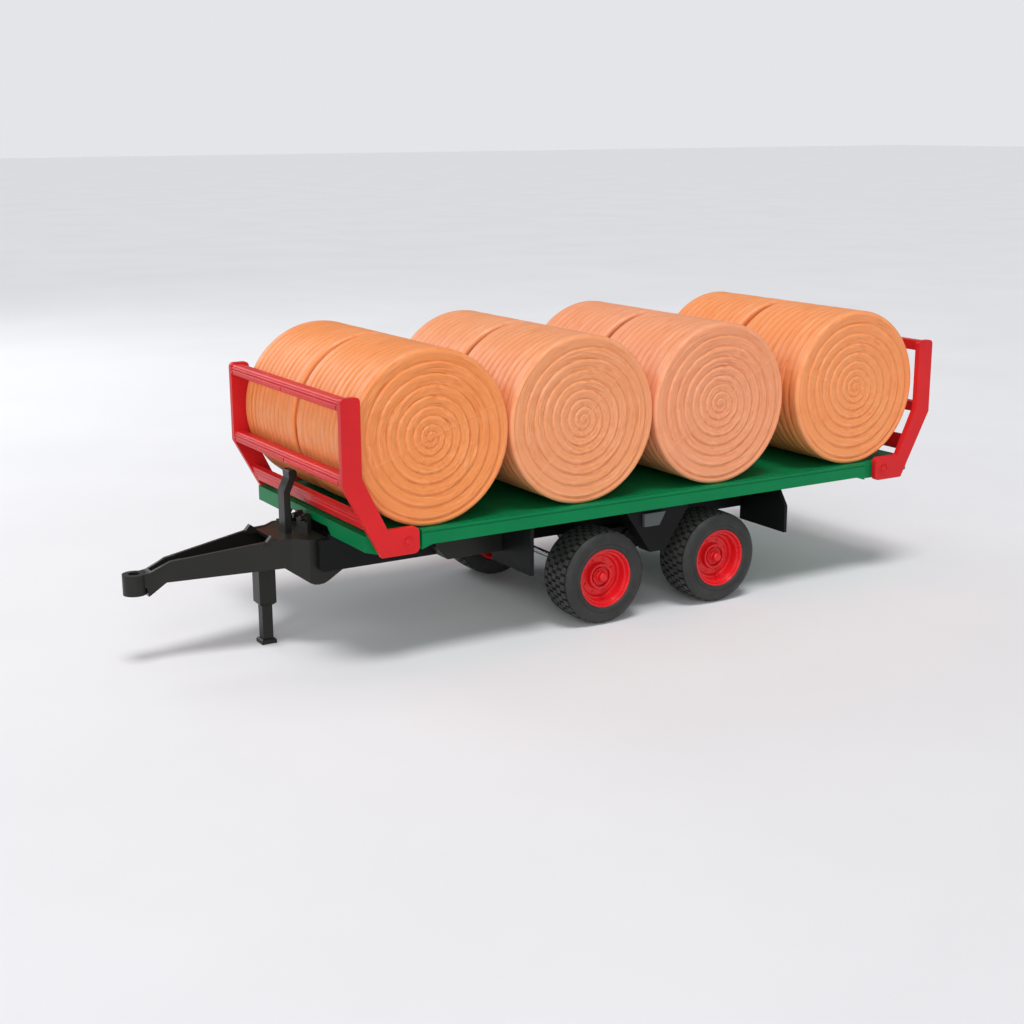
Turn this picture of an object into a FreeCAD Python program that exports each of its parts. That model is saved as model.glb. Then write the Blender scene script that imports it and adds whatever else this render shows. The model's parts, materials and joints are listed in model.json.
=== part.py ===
"""Toy flatbed bale trailer in 1:16, loaded with eight hollow round bales.

Lengths are in millimetres. +X points to the hitch, +Y to the trailer's left
side and +Z up. The origin lies on the ground, under the middle of the trailer.
"""
import FreeCAD, Part
import operator
import os

import Sketcher
from FreeCAD import Placement, Rotation, Vector

DIMENSIONS = {
    # Deck: a moulded tray, open below, with a skirt all round.
    "deck_centre": -50.2,
    "deck_length": 412.5,
    "deck_width": 160.0,
    "deck_top": 78.0,
    "deck_depth": 9.2,
    "deck_sheet": 2.4,
    "deck_wall": 2.4,
    "rib_width": 1.8,
    "rib_pitch": 50.0,
    "rib_first": -200.0,
    "front_step": 171.8,
    "rear_step": 165.8,
    "recess_depth": 3.2,
    "lip_drop": 2.2,
    "lip_slope": 7.2,
    "groove_drop": 1.3,
    "rim_inset": 3.0,
    "groove_width": 0.9,
    "groove_depth": 0.5,
    "notch_half_top": 27.0,
    "notch_half_bottom": 31.5,
    "notch_height": 4.4,
    # Chassis rails and what hangs from them.
    "rail_inner": 28.0,
    "rail_outer": 32.0,
    "rail_bottom": 47.5,
    "rail_front": 163.6,
    "rail_back": -150.7,
    "cross_length": 8.0,
    "cross_bottom": 58.0,
    "screw_offset": 14.0,
    "screw_radius": 1.4,
    "screw_head": 2.8,
    "screw_head_depth": 1.8,
    "boss_radius": 4.0,
    "toolbox_outer": 45.0,
    "toolbox_back": 48.0,
    "toolbox_front": 94.0,
    "toolbox_bottom": 47.1,
    # Bogie: two beams that rock on one pin, with an axle at each end.
    "bogie_centre": -50.0,
    "wheelbase": 88.5,
    "axle_height": 29.5,
    "axle_radius": 2.0,
    "axle_end": 69.8,
    "pivot_height": 42.0,
    "pivot_ear": 8.0,
    "pivot_ear_bottom": 36.0,
    "pivot_radius": 2.5,
    "pivot_head": 4.0,
    "beam_inner": 32.4,
    "beam_outer": 38.4,
    "stub_radius": 4.5,
    "stub_end": 50.0,
    "cross_tube_radius": 4.0,
    "cross_tube_offset": 18.0,
    "running_gap": 0.05,
    "side_gap": 0.4,
    # Wheels.
    "tyre_radius": 29.5,
    "tyre_face_radius": 28.0,
    "tyre_inner": 50.4,
    "tyre_outer": 80.0,
    "rim_radius": 18.5,
    "rim_lip": 17.8,
    "rim_lip_face": 79.0,
    "rim_disc": 70.6,
    "rim_disc_radius": 12.4,
    "rim_ring_outer": 8.0,
    "rim_ring_inner": 6.6,
    "rim_ring_face": 73.8,
    "hub_radius": 5.2,
    "hub_face": 73.2,
    "cap_radius": 3.6,
    "cap_end": 77.7,
    "nut_seat": 68.0,
    "nut_seat_radius": 4.2,
    "nut_radius": 3.8,
    # Mud flaps ahead of and behind the wheels, and the divider between them.
    "flap_bottom": 38.7,
    "flap_outer": 78.0,
    "flap_thickness": 2.5,
    "flap_front": 48.0,
    "flap_back": -150.7,
    "flap_corner": 8.6,
    "flap_corner_low": 56.7,
    "divider_bottom": 39.0,
    "divider_foot": 5.8,
    "divider_head": 26.0,
    "divider_inner": 60.0,
    "divider_outer": 72.0,
    "badge_low": 56.5,
    "badge_high": 65.0,
    # Drawbar, its eye, the parking jack and the hose holder.
    "drawbar_back": 128.0,
    "drawbar_half": 27.6,
    "drawbar_wall": 2.4,
    "drawbar_floor": 52.0,
    "drawbar_pin_x": 136.0,
    "drawbar_pin_z": 60.0,
    "nose_half": 5.4,
    "eye_x": 264.25,
    "eye_radius": 6.7,
    "eye_bore": 3.2,
    "eye_bottom": 42.5,
    "gutter_floor": 52.6,
    "sump_floor": 43.0,
    "lug_top": 69.6,
    "eye_height": 12.0,
    "jack_x": 185.9,
    "jack_case": 10.5,
    "jack_leg": 6.5,
    "jack_gap": 0.3,
    "jack_case_bottom": 23.8,
    "jack_foot": 9.5,
    "jack_foot_depth": 3.0,
    "jack_leg_top": 36.0,
    "post_front": 173.0,
    "post_back": 168.9,
    "post_half": 4.6,
    "bridge_top": 66.5,
    "bridge_back": 156.2,
    "bridge_front": 184.0,
    "bridge_sheet": 2.0,
    "coupling_height": 74.4,
    # Gates, measured outwards from their pivot pins.
    "gate_pivot": 181.2,
    "gate_pivot_z": 73.0,
    "gate_outer": 81.4,
    "plate_thickness": 4.0,
    "gate_reach": 39.55,
    "gate_plate_width": 12.0,
    "gate_top": 157.5,
    "gate_bend": 108.7,
    "foot_half_height": 7.8,
    "foot_heel": 7.2,
    "foot_toe": 16.5,
    "rail_depth": 7.0,
    "top_rail_bottom": 150.0,
    "middle_rail_bottom": 108.0,
    "gate_rail_height": 6.5,
    "lower_slot_bottom": 83.0,
    "lower_slot_reach": 26.3,
    "pin_radius": 2.2,
    "pin_inner": 69.0,
    "boss_ring": 4.0,
    "boss_ring_bore": 3.0,
    "boss_ring_height": 0.5,
    # Bales.
    "bale_radius": 51.2,
    "bale_inner": 3.0,
    "bale_outer": 76.0,
    "bale_edge": 4.0,
    "bale_wall": 1.5,
}
BALE_ROWS = (112.0, 8.8, -94.4, -207.8)
CROSS_MEMBERS = (100.0, 0.0, -100.0)
RIB_COUNT = 7

OPERATIONS = {
    "+": operator.add,
    "-": operator.sub,
    "*": operator.mul,
    "/": operator.truediv,
}


class Measure:
    """A length that carries both its number and its spreadsheet formula."""

    def __init__(self, number, formula):
        self.number = float(number)
        self.formula = formula

    def __add__(self, other):
        return joined(self, "+", other)

    def __radd__(self, other):
        return joined(other, "+", self)

    def __sub__(self, other):
        return joined(self, "-", other)

    def __rsub__(self, other):
        return joined(other, "-", self)

    def __mul__(self, other):
        return joined(self, "*", other)

    def __rmul__(self, other):
        return joined(other, "*", self)

    def __truediv__(self, other):
        return joined(self, "/", other)

    def __neg__(self):
        return joined(-1, "*", self)


def measure(value):
    return value if isinstance(value, Measure) else Measure(value, f"({value:g})")


def joined(left, sign, right):
    left = measure(left)
    right = measure(right)
    number = OPERATIONS[sign](left.number, right.number)
    return Measure(number, f"({left.formula} {sign} {right.formula})")


class Sheet:
    """The spreadsheet of driving dimensions, read by name as measures."""

    def __init__(self, doc):
        self.cells = doc.addObject("Spreadsheet::Sheet", "size")
        for row, (alias, value) in enumerate(DIMENSIONS.items(), start=1):
            self.cells.set(f"A{row}", alias)
            self.cells.set(f"B{row}", str(value))
            self.cells.setAlias(f"B{row}", alias)

    def __getattr__(self, alias):
        return Measure(DIMENSIONS[alias], f"size.{alias}")


doc = FreeCAD.newDocument("bale_trailer")
size = Sheet(doc)
doc.recompute()
pieces = []


def keep(item, name):
    """Name an object as one sub-part of the trailer."""
    item.Label = name
    pieces.append(item)
    return item


def bind(item, prop, value):
    item.setExpression(prop, measure(value).formula)


def place(item, x=0, y=0, z=0, rotation=None):
    if rotation:
        item.Placement = Placement(Vector(0, 0, 0), rotation)
    bind(item, "Placement.Base.x", x)
    bind(item, "Placement.Base.y", y)
    bind(item, "Placement.Base.z", z)
    return item


def block(x, y, z):
    """A box between low and high faces given as pairs along each axis."""
    item = doc.addObject("Part::Box", "block")
    bind(item, "Length", x[1] - measure(x[0]))
    bind(item, "Width", y[1] - measure(y[0]))
    bind(item, "Height", z[1] - measure(z[0]))
    return place(item, x[0], y[0], z[0])


def rod(axis, radius, ends, across, up):
    """A cylinder along an axis; across and up place it in the other two."""
    item = doc.addObject("Part::Cylinder", "rod")
    bind(item, "Radius", radius)
    bind(item, "Height", ends[1] - measure(ends[0]))
    if axis == "X":
        return place(item, ends[0], across, up, Rotation(Vector(0, 1, 0), 90))
    if axis == "Y":
        return place(item, across, ends[0], up, Rotation(Vector(1, 0, 0), -90))
    return place(item, across, up, ends[0])


def fuse(*shapes):
    item = doc.addObject("Part::MultiFuse", "fuse")
    item.Shapes = list(shapes)
    return item


def cut(base, *tools):
    item = doc.addObject("Part::Cut", "cut")
    item.Base = base
    item.Tool = tools[0] if len(tools) == 1 else fuse(*tools)
    return item


def group(*shapes):
    """Several separate solids that share one node."""
    item = doc.addObject("Part::Compound", "group")
    item.Links = list(shapes)
    return item


def new_body(name):
    return doc.addObject("PartDesign::Body", name)


def outline(body, plane, corners, lift=0):
    """A closed polygon on one of the body's own origin planes."""
    sketch = body.newObject("Sketcher::SketchObject", "outline")
    role = f"{plane}_Plane"
    support = next(item for item in body.Origin.OriginFeatures if item.Role == role)
    sketch.AttachmentSupport = [(support, "")]
    sketch.MapMode = "FlatFace"
    bind(sketch, "AttachmentOffset.Base.z", lift)
    add_polygon(sketch, corners)
    return sketch


def add_polygon(sketch, corners):
    """Lines through the corners, each corner driven by two bound distances."""
    first = sketch.GeometryCount
    points = [(measure(across), measure(up)) for across, up in corners]
    places = [Vector(across.number, up.number, 0) for across, up in points]
    for number, start in enumerate(places):
        end = places[(number + 1) % len(places)]
        sketch.addGeometry(Part.LineSegment(start, end), False)
    for number, point in enumerate(points):
        line = first + number
        following = first + (number + 1) % len(points)
        sketch.addConstraint(Sketcher.Constraint("Coincident", line, 2, following, 1))
        for kind, value in zip(("DistanceX", "DistanceY"), point):
            rule = Sketcher.Constraint(kind, -1, 1, line, 1, value.number)
            bind(sketch, f"Constraints[{sketch.addConstraint(rule)}]", value)


def pad(body, sketch, length, backwards=False, both_ways=False):
    item = body.newObject("PartDesign::Pad", "pad")
    item.Profile = sketch
    item.Reversed = backwards
    item.Midplane = both_ways
    bind(item, "Length", length)
    body.Tip = item
    return item


def pocket(body, sketch, length, backwards=False, both_ways=False):
    item = body.newObject("PartDesign::Pocket", "pocket")
    item.Profile = sketch
    item.Reversed = backwards
    item.Midplane = both_ways
    bind(item, "Length", length)
    body.Tip = item
    return item


def revolve(body, sketch):
    """Turn an outline on the YZ plane about the Y axis."""
    item = body.newObject("PartDesign::Revolution", "turned")
    item.Profile = sketch
    item.ReferenceAxis = (sketch, ["H_Axis"])
    item.Angle = 360
    body.Tip = item
    return item


def dress(body, kind, amount, chosen):
    """Fillet or chamfer the edges of the body's last feature that are chosen."""
    doc.recompute()
    base = body.Tip
    names = [f"Edge{number}" for number, edge in enumerate(base.Shape.Edges, start=1)
             if chosen(edge)]
    item = body.newObject(f"PartDesign::{kind}", kind.lower())
    item.Base = (base, names)
    bind(item, "Radius" if kind == "Fillet" else "Size", amount)
    body.Tip = item
    return item


def along_y_at(x, z):
    """Picks the edges that run along Y through a point given in X and Z."""
    def chosen(edge):
        return all(abs(vertex.X - measure(x).number) < 0.01
                   and abs(vertex.Z - measure(z).number) < 0.01
                   for vertex in edge.Vertexes)
    return chosen


def slab(name, corners, y):
    """A plate cut to an XZ outline, between two Y faces."""
    body = new_body(name)
    sketch = outline(body, "XZ", corners, -measure(y[0]))
    pad(body, sketch, y[1] - measure(y[0]), backwards=True)
    return body


def sides():
    """The left side is +1 and the right side is -1."""
    return (("left", 1), ("right", -1))


def span(side, inner, outer):
    """A Y range on one side, low face first."""
    return (inner, outer) if side > 0 else (-outer, -inner)


def along_x(face, reach):
    """An X range from a face by a signed reach, low face first."""
    ends = (measure(face), face + measure(reach))
    return ends if measure(reach).number > 0 else ends[::-1]


# Deck -----------------------------------------------------------------------

def make_deck():
    """A ribbed tray, narrower at its corners where the gates' feet stand."""
    half = size.deck_length / 2
    front, back = size.deck_centre + half, size.deck_centre - half
    wide = size.deck_width / 2
    narrow = wide - size.recess_depth
    front_step = size.deck_centre + size.front_step
    back_step = size.deck_centre - size.rear_step
    bottom = size.deck_top - size.deck_depth
    under_sheet = size.deck_top - size.deck_sheet
    plan = [(front, -narrow), (front, narrow), (front_step, narrow),
            (front_step, wide), (back_step, wide), (back_step, narrow),
            (back, narrow), (back, -narrow), (back_step, -narrow),
            (back_step, -wide), (front_step, -wide), (front_step, -narrow)]
    body = new_body("deck_body")
    pad(body, outline(body, "XY", plan, bottom), size.deck_depth)

    wall = size.deck_wall
    hollow = [(front - wall, wall - narrow), (front - wall, narrow - wall),
              (back + wall, narrow - wall), (back + wall, wall - narrow)]
    hollow_depth = size.deck_depth - size.deck_sheet
    pocket(body, outline(body, "XY", hollow, bottom), hollow_depth, backwards=True)

    rim, groove = size.rim_inset, size.groove_width
    outer = [(front - rim, rim - narrow), (front - rim, narrow - rim),
             (back + rim, narrow - rim), (back + rim, rim - narrow)]
    inner = [(front - rim - groove, rim + groove - narrow),
             (front - rim - groove, narrow - rim - groove),
             (back + rim + groove, narrow - rim - groove),
             (back + rim + groove, rim + groove - narrow)]
    ring = outline(body, "XY", outer, size.deck_top)
    add_polygon(ring, inner)
    pocket(body, ring, size.groove_depth)

    slots = outline(body, "YZ", side_slot(wide, 1), size.deck_centre)
    add_polygon(slots, side_slot(wide, -1))
    pocket(body, slots, size.deck_length, both_ways=True)
    bottom_edge = outline(body, "YZ", notch_outline(bottom), front + 1)
    pocket(body, bottom_edge, wall + 1.5)

    ribs = [block((size.rib_first + number * size.rib_pitch - size.rib_width / 2,
                   size.rib_first + number * size.rib_pitch + size.rib_width / 2),
                  (wall - narrow, narrow - wall), (bottom, under_sheet))
            for number in range(RIB_COUNT)]
    bosses, bores = [], []
    for x in CROSS_MEMBERS:
        for _, side in sides():
            y = side * size.screw_offset
            bosses.append(rod("Z", size.boss_radius, (bottom, under_sheet), x, y))
            bores.append(rod("Z", size.screw_radius, (bottom, under_sheet - 1), x, y))
    for end in (1, -1):
        pivot = size.deck_centre + end * size.gate_pivot
        for _, side in sides():
            y = span(side, size.pin_inner - 2, narrow)
            bosses.append(block((pivot - 5, pivot + 5), y, (bottom, under_sheet)))
            hole = span(side, size.pin_inner, narrow + 1)
            bores.append(rod("Y", size.pin_radius + size.running_gap, hole,
                             pivot, size.gate_pivot_z))
    lips = [lip for end, step in ((1, size.front_step), (-1, size.rear_step))
            for lip in deck_lips(end, step, bottom, wide, narrow)]
    keep(cut(fuse(body, *ribs, *bosses, *lips), *bores), "deck")


def deck_lips(end, step, bottom, wide, narrow):
    """Near its ends the skirt reaches a little lower on both sides."""
    low = bottom - size.lip_drop
    tip = size.deck_length / 2
    slope = [(step - size.lip_slope, bottom), (step, low), (step, bottom)]
    foot = [(step, bottom), (step, low), (tip - size.lip_slope, low), (tip, bottom)]
    for _, side in sides():
        for outline_points, outer in ((slope, wide), (foot, narrow)):
            corners = [(size.deck_centre + end * s, z) for s, z in outline_points]
            y = span(side, narrow - size.deck_wall, outer)
            yield slab("lip", corners, y)


def side_slot(wide, side):
    """The shallow groove that runs along the skirt."""
    top = size.deck_top - size.groove_drop
    return [(side * wide, top), (side * (wide - size.groove_depth), top),
            (side * (wide - size.groove_depth), top - size.groove_width),
            (side * wide, top - size.groove_width)]


def notch_outline(bottom):
    """The opening in the front skirt through which the drawbar passes."""
    top = bottom + size.notch_height
    return [(-size.notch_half_bottom, bottom - 1), (size.notch_half_bottom, bottom - 1),
            (size.notch_half_bottom, bottom), (size.notch_half_top, top),
            (-size.notch_half_top, top), (-size.notch_half_bottom, bottom)]


# Chassis --------------------------------------------------------------------

def make_chassis():
    top = size.deck_top - size.deck_depth
    middle, low = size.bogie_centre, size.rail_bottom
    deck_front = size.deck_centre + size.deck_length / 2
    ear, shoulder = size.pivot_ear, size.pivot_ear * 2
    corners = [(size.rail_back, top), (size.rail_back, low + 2),
               (size.rail_back + 2, low), (middle - shoulder, low),
               (middle - ear, size.pivot_ear_bottom), (middle + ear, size.pivot_ear_bottom),
               (middle + shoulder, low), (size.rail_front - 2, low),
               (size.rail_front, low + 2), (size.rail_front, size.bridge_top),
               (deck_front + 0.5, size.bridge_top), (deck_front, top)]
    for name, side in sides():
        y = span(side, size.rail_inner, size.rail_outer)
        rail = slab(f"rail_{name}", corners, y)
        past = span(side, size.rail_inner - 1, size.rail_outer + 1)
        pin_hole = rod("Y", size.pivot_radius, past, middle, size.pivot_height)
        draw_hole = rod("Y", size.pin_radius, past, size.drawbar_pin_x,
                        size.drawbar_pin_z)
        keep(cut(rail, pin_hole, draw_hole), f"chassis_rail_{name}")

    members, screws = [], []
    for x in CROSS_MEMBERS:
        member = block((x - size.cross_length / 2, x + size.cross_length / 2),
                       (-size.rail_inner, size.rail_inner), (size.cross_bottom, top))
        holes = [rod("Z", size.screw_radius + 0.2, (size.cross_bottom - 1, top + 1),
                     x, side * size.screw_offset) for _, side in sides()]
        members.append(cut(member, *holes))
        for _, side in sides():
            screws.append(screw(x, side * size.screw_offset))
    end = size.rail_back
    members.append(block((end, end + size.cross_length / 2),
                         (-size.rail_inner, size.rail_inner), (size.cross_bottom, top)))
    keep(group(*members), "chassis_cross_members")
    keep(group(*screws), "deck_screws")

    low, front, back = size.toolbox_bottom, size.toolbox_front, size.toolbox_back
    corners = [(back, low), (front - 8, low), (front, low + 9), (front, top), (back, top)]
    boxes = [slab(f"toolbox_{name}", corners, span(side, size.rail_outer, size.toolbox_outer))
             for name, side in sides()]
    keep(group(*boxes), "tool_boxes")


def screw(x, y):
    """A pan-head screw, driven upwards into a boss under the deck."""
    head_top = size.cross_bottom
    head = rod("Z", size.screw_head, (head_top - size.screw_head_depth, head_top), x, y)
    shank = rod("Z", size.screw_radius, (head_top, size.deck_top - size.deck_sheet - 1.2),
                x, y)
    slot = block((x - 0.4, x + 0.4), (y - 2, y + 2),
                 (head_top - size.screw_head_depth, head_top - 1.2))
    return cut(fuse(head, shank), slot)


# Mudguards ------------------------------------------------------------------

def make_mudguards():
    """Flat panels across the deck, and a wedge with a raised plate between the wheels."""
    top = size.deck_top - size.deck_depth
    low, thick = size.flap_bottom, size.flap_thickness
    for name, side in sides():
        inner, outer = size.rail_outer + 0.3, size.flap_outer
        panel = block((size.flap_front - thick, size.flap_front), span(side, inner, outer),
                      (low, top))
        keep(panel, f"front_mud_flap_{name}")
        body = new_body(f"flap_{name}")
        shape = [(side * inner, low), (side * outer, low),
                 (side * outer, size.flap_corner_low),
                 (side * (outer - size.flap_corner), top), (side * inner, top)]
        pad(body, outline(body, "YZ", shape, size.flap_back), thick)
        keep(body, f"rear_mud_flap_{name}")

        middle = size.bogie_centre
        corners = [(middle - size.divider_foot, size.divider_bottom),
                   (middle + size.divider_foot, size.divider_bottom),
                   (middle + size.divider_head, top), (middle - size.divider_head, top)]
        wedge = slab(f"wedge_{name}", corners,
                     span(side, size.divider_inner, size.divider_outer))
        badge = [(middle + 0.7, size.badge_low), (middle + 12, size.badge_low),
                 (middle + 12.4, size.badge_high), (middle - 4.2, size.badge_high)]
        face = slab(f"badge_{name}", badge,
                    span(side, size.divider_outer, size.divider_outer + 2.5))
        keep(fuse(wedge, face), f"wheel_divider_{name}")


# Bogie and wheels -----------------------------------------------------------

def make_bogie():
    middle, pivot = size.bogie_centre, size.pivot_height
    reach = size.wheelbase / 2
    half_beam = [(reach + 6.3, size.axle_height + 5), (reach - 6, size.axle_height + 6.5),
                 (12, pivot + 6)]
    under_beam = [(14, pivot - 9), (reach - 6, size.axle_height - 5),
                  (reach + 6.3, size.axle_height - 5)]
    corners = ([(middle + x, z) for x, z in under_beam]
               + [(middle + x, z) for x, z in half_beam]
               + [(middle - x, z) for x, z in reversed(half_beam)]
               + [(middle - x, z) for x, z in reversed(under_beam)])
    axles = (("front", middle + reach), ("rear", middle - reach))
    for name, side in sides():
        beam = slab(f"beam_{name}", corners, span(side, size.beam_inner, size.beam_outer))
        stubs = [rod("Y", size.stub_radius, span(side, size.beam_outer, size.stub_end),
                     x, size.axle_height) for _, x in axles]
        past = span(side, size.beam_inner - 1, size.stub_end + 1)
        holes = [rod("Y", size.axle_radius, past, x, size.axle_height) for _, x in axles]
        holes.append(rod("Y", size.pivot_radius + size.running_gap, past, middle, pivot))
        keep(cut(fuse(beam, *stubs), *holes), f"bogie_beam_{name}")

    tubes = [rod("Y", size.cross_tube_radius, (-size.beam_inner, size.beam_inner),
                 middle + end * size.cross_tube_offset, pivot - 4) for end in (1, -1)]
    keep(group(*tubes), "bogie_cross_tubes")

    nuts = []
    for name, x in axles:
        axle = rod("Y", size.axle_radius, (-size.axle_end, size.axle_end), x,
                   size.axle_height)
        keep(axle, f"{name}_axle")
        for _, side in sides():
            width = span(side, size.nut_seat + size.side_gap, size.nut_seat + 1.4)
            nuts.append(cut(rod("Y", size.nut_radius, width, x, size.axle_height),
                            rod("Y", size.axle_radius, width, x, size.axle_height)))
    keep(group(*nuts), "axle_push_nuts")

    shaft = rod("Y", size.pivot_radius, (-size.beam_outer - size.side_gap,
                                         size.beam_outer + size.side_gap), middle, pivot)
    heads = [rod("Y", size.pivot_head, span(side, size.beam_outer + size.side_gap,
                                            size.beam_outer + 2), middle, pivot)
             for _, side in sides()]
    keep(fuse(shaft, *heads), "bogie_pivot_pin")

    for name, x in axles:
        for side_name, side in sides():
            make_wheel(f"{name}_{side_name}", x, side)


def make_wheel(name, x, side):
    """Tyre, rim and hub cap, turned about Y; the right side is turned round."""
    inner, outer = size.tyre_inner, size.tyre_outer
    tread, shoulder, bead = size.tyre_radius, size.tyre_face_radius, size.rim_radius
    tyre = [(inner + 1.4, bead), (outer - 1.4, bead), (outer, bead + 2.2),
            (outer, shoulder - 2), (outer - 0.8, shoulder), (outer - 3.2, tread - 0.8),
            (outer - 5, tread), (inner + 5, tread), (inner + 3.2, tread - 0.8),
            (inner + 0.8, shoulder), (inner, shoulder - 2), (inner, bead + 2.2)]
    lip, disc, flat = size.rim_lip, size.rim_disc, size.rim_disc_radius
    hub, face, seat = size.hub_radius, size.hub_face, size.nut_seat_radius
    ring, ring_face = size.rim_ring_outer, size.rim_ring_face
    bore = size.axle_radius + size.running_gap
    back = size.stub_end + size.side_gap
    hub_side = [(back, bore), (size.nut_seat, bore), (size.nut_seat, seat), (face, seat),
                (face, hub), (disc + 1, hub + 0.2), (disc + 1, size.rim_ring_inner),
                (ring_face, size.rim_ring_inner), (ring_face, ring), (disc, ring + 0.5)]
    bowl = [(disc, flat), (disc + 2, flat + 1), (disc + 2, flat + 2),
            (disc + 6, flat + 3), (disc + 6, flat + 4), (size.rim_lip_face, lip - 0.4)]
    back_side = [(size.rim_lip_face, bead), (inner + 1.2, bead), (inner + 1.2, lip - 1.4),
                 (disc - 2.4, lip - 2.6), (disc - 2.4, ring), (disc - 9, hub), (back, hub)]
    rim = hub_side + bowl + back_side
    neck, end = size.cap_radius, size.cap_end
    cap = [(face - 0.5, 0), (face - 0.5, seat), (face, seat), (face, neck),
           (face + 1.2, neck), (face + 1.4, neck - 0.5), (end - 0.8, neck - 0.7),
           (end, neck - 1.5), (end, 0)]
    turned = Rotation(Vector(0, 0, 1), 0 if side > 0 else 180)
    for part, profile in (("tyre", tyre), ("rim", rim), ("hub_cap", cap)):
        body = new_body(f"{part}_{name}")
        revolve(body, outline(body, "YZ", profile))
        place(body, x, 0, size.axle_height, turned)
        keep(body, f"{name}_{part}")


# Drawbar --------------------------------------------------------------------

def drawbar_half_width(x):
    """The A-frame narrows evenly from the deck's front edge to the nose."""
    return size.nose_half + 0.208 * (248 - measure(x))


def make_drawbar():
    """A channel that tapers to the nose, with a lid and a deep belly at the back."""
    back, half = size.drawbar_back, size.drawbar_half
    nose, wall = size.nose_half, size.drawbar_wall
    under = [(257.6, 40.9), (247, 47.9), (180.4, 49.6), (168, 40.6), (165.4, 39.4),
             (162.4, 39), (159, 39.4), (156.4, 40.6), (140, 50.5), (back, 52.5)]
    over = [(back, 66), (size.bridge_back, size.bridge_top), (184.5, 67), (244.4, 60),
            (256, 55), (260.5, 54.4), (260.5, 46.7), (258.6, 46.2)]
    body = new_body("drawbar_body")
    pad(body, outline(body, "XZ", under + over), half * 2, both_ways=True)
    tip, taper_front, taper_back = 264, 176, 168
    for side in (1, -1):
        waste = [(tip, side * (nose - 0.6)), (248, side * nose),
                 (taper_front, side * drawbar_half_width(taper_front)),
                 (taper_back, side * half), (taper_back, side * (half + 2)),
                 (tip, side * (half + 2))]
        pocket(body, outline(body, "XY", waste, 30), 50, backwards=True)
    inside = [(238, drawbar_half_width(238) - wall),
              (taper_front, drawbar_half_width(taper_front) - wall),
              (taper_back, half - wall), (back + wall, half - wall)]
    plan = inside + [(x, -y) for x, y in reversed(inside)]
    pocket(body, outline(body, "XY", plan, size.drawbar_floor), 20, backwards=True)
    gutter = [(255, 2.8), (238, 4), (238, -4), (255, -2.8)]
    pocket(body, outline(body, "XY", gutter, size.gutter_floor), 20, backwards=True)
    sump = [(167, wall * 2 - half), (167, half - wall * 2),
            (155, half - wall * 2), (155, wall * 2 - half)]
    pocket(body, outline(body, "XY", sump, size.sump_floor), 12, backwards=True)
    ahead = drawbar_half_width(size.bridge_front) - wall / 2
    lid = [(size.bridge_front, ahead), (taper_front, drawbar_half_width(taper_front) - 1),
           (taper_back, half - 1), (size.bridge_back, half - 1)]
    lid += [(x, -y) for x, y in reversed(lid)]
    pad(body, outline(body, "XY", lid, size.bridge_top - size.bridge_sheet),
        size.bridge_sheet)

    peak = [(181.6, 65.4), (187.2, size.lug_top), (191.4, 65), (188, 64), (184, 64)]
    lugs = [slab("lug", peak, span(side, 14.6, 18)) for _, side in sides()]
    floor_hole = jack_square(size.jack_case / 2, (45, size.drawbar_floor + 1))
    eye_room = rod("Z", size.eye_radius, (30, 60), size.eye_x, 0)
    tail_room = hitch_tail(262)
    pin_hole = rod("Y", size.pin_radius, (-40, 40), size.drawbar_pin_x, size.drawbar_pin_z)
    frame = cut(fuse(body, *lugs), floor_hole, eye_room, tail_room, pin_hole)
    keep(frame, "drawbar")

    reach = size.rail_outer + 2
    pin = rod("Y", size.pin_radius, (-reach, reach), size.drawbar_pin_x, size.drawbar_pin_z)
    keep(pin, "drawbar_pin")

    top = size.eye_bottom + size.eye_height
    ring = rod("Z", size.eye_radius, (size.eye_bottom, top), size.eye_x, 0)
    hole = rod("Z", size.eye_bore, (size.eye_bottom - 1, top + 1), size.eye_x, 0)
    keep(cut(fuse(ring, hitch_tail(size.eye_x)), hole), "hitch_eye")


def hitch_tail(front):
    """The tongue by which the eye is held inside the nose."""
    return block((251, front), (-3, 3), (46.6, 51.4))


def jack_square(half, z):
    """A square column on the jack's axis."""
    x = size.jack_x
    return block((x - half, x + half), (-half, half), z)


def make_jack():
    case = new_body("jack_case_body")
    half = size.jack_case / 2
    x, low = size.jack_x, size.jack_case_bottom
    plan = [(x - half, -half), (x + half, -half), (x + half, half), (x - half, half)]
    pad(case, outline(case, "XY", plan, low), size.drawbar_floor - low)
    floor = low.number + 0.1
    dress(case, "Chamfer", 1.6, lambda edge: all(v.Z < floor for v in edge.Vertexes))
    inside = jack_square(size.jack_leg / 2 + size.jack_gap, (low - 1, 53))
    keep(cut(case, inside), "jack_housing")
    leg = jack_square(size.jack_leg / 2, (size.jack_foot_depth, size.jack_leg_top))
    keep(leg, "jack_leg")
    foot = new_body("jack_foot_body")
    half = size.jack_foot / 2
    plan = [(x - half, -half), (x + half, -half), (x + half, half), (x - half, half)]
    pad(foot, outline(foot, "XY", plan), size.jack_foot_depth)
    dress(foot, "Chamfer", 0.8, lambda edge: all(v.Z > 2.9 for v in edge.Vertexes))
    keep(foot, "jack_foot")


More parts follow.
